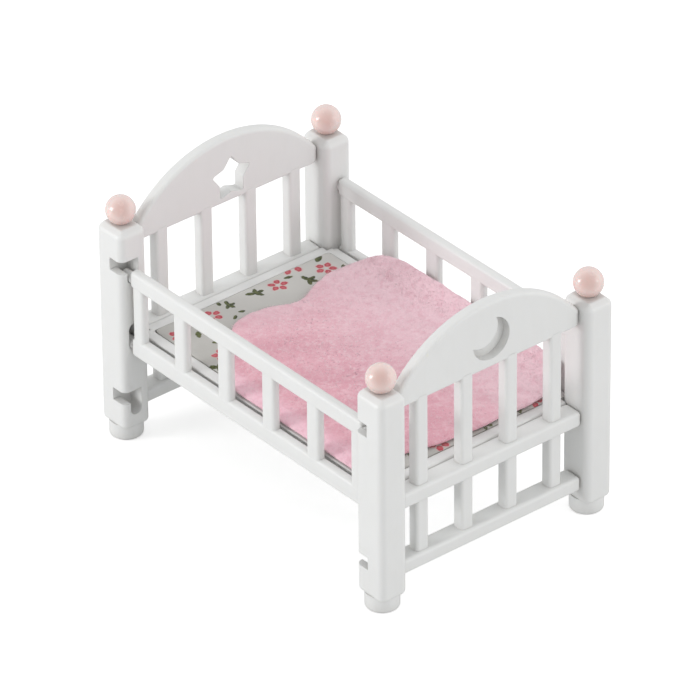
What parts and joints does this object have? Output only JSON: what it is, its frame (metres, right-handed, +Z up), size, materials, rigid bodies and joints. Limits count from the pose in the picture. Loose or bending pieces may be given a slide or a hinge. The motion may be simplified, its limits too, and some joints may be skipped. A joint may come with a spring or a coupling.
{
  "type": "miniature toy crib",
  "caption": "Doll-size toy crib with slatted sides, arched ends with star and crescent cut-outs, ball finials, a swing-down side rail, mattress and blanket.",
  "frame": {"origin": "on the floor at the middle of the footprint", "axes": "+X from the headboard to the footboard, -Y towards the drop rail, +Z up"},
  "size_m": [0.0972, 0.066, 0.0656],
  "materials": {
    "white_plastic": "glossy moulded, off-white",
    "pink_plastic": "glossy moulded, pale salmon pink",
    "board": "matte card-like",
    "printed_sheet": "off-white weave with a small flower print",
    "blanket_fleece": "pink felted fleece"
  },
  "bodies": {
    "frame": {"post_head_front": "white_plastic", "post_foot_front": "white_plastic", "post_head_back": "white_plastic", "post_foot_back": "white_plastic", "headboard_panel": "white_plastic", "footboard_panel": "white_plastic", "fixed_rail": "white_plastic", "finial_head_front": "pink_plastic", "finial_foot_front": "pink_plastic", "finial_head_back": "pink_plastic", "finial_foot_back": "pink_plastic", "bed_base": "white_plastic"},
    "rail_pivots": {"rail_pivot_pins": "white_plastic"},
    "drop_rail": {"drop_rail": "white_plastic"},
    "mattress": {"mattress_board": "board", "mattress_sheet": "printed_sheet"},
    "blanket": {"blanket": "blanket_fleece"}
  },
  "joints": [
    {"name": "rail_lift", "type": "slide", "parent": "frame", "child": "rail_pivots", "axis": [0, 0, 1], "range_m": [0, 0.00335]},
    {"name": "rail_swing", "type": "hinge", "parent": "rail_pivots", "child": "drop_rail", "pos_m": [0, -0.02955, 0.0255], "axis": [1, 0, 0], "range_deg": [0, 180]},
    {"name": "mattress_lift", "type": "slide", "parent": "frame", "child": "mattress", "axis": [0, 0, 1], "range_m": [0, 0.042]},
    {"name": "blanket_lift", "type": "slide", "parent": "mattress", "child": "blanket", "axis": [0, 0, 1], "range_m": [0, 0.042]}
  ]
}
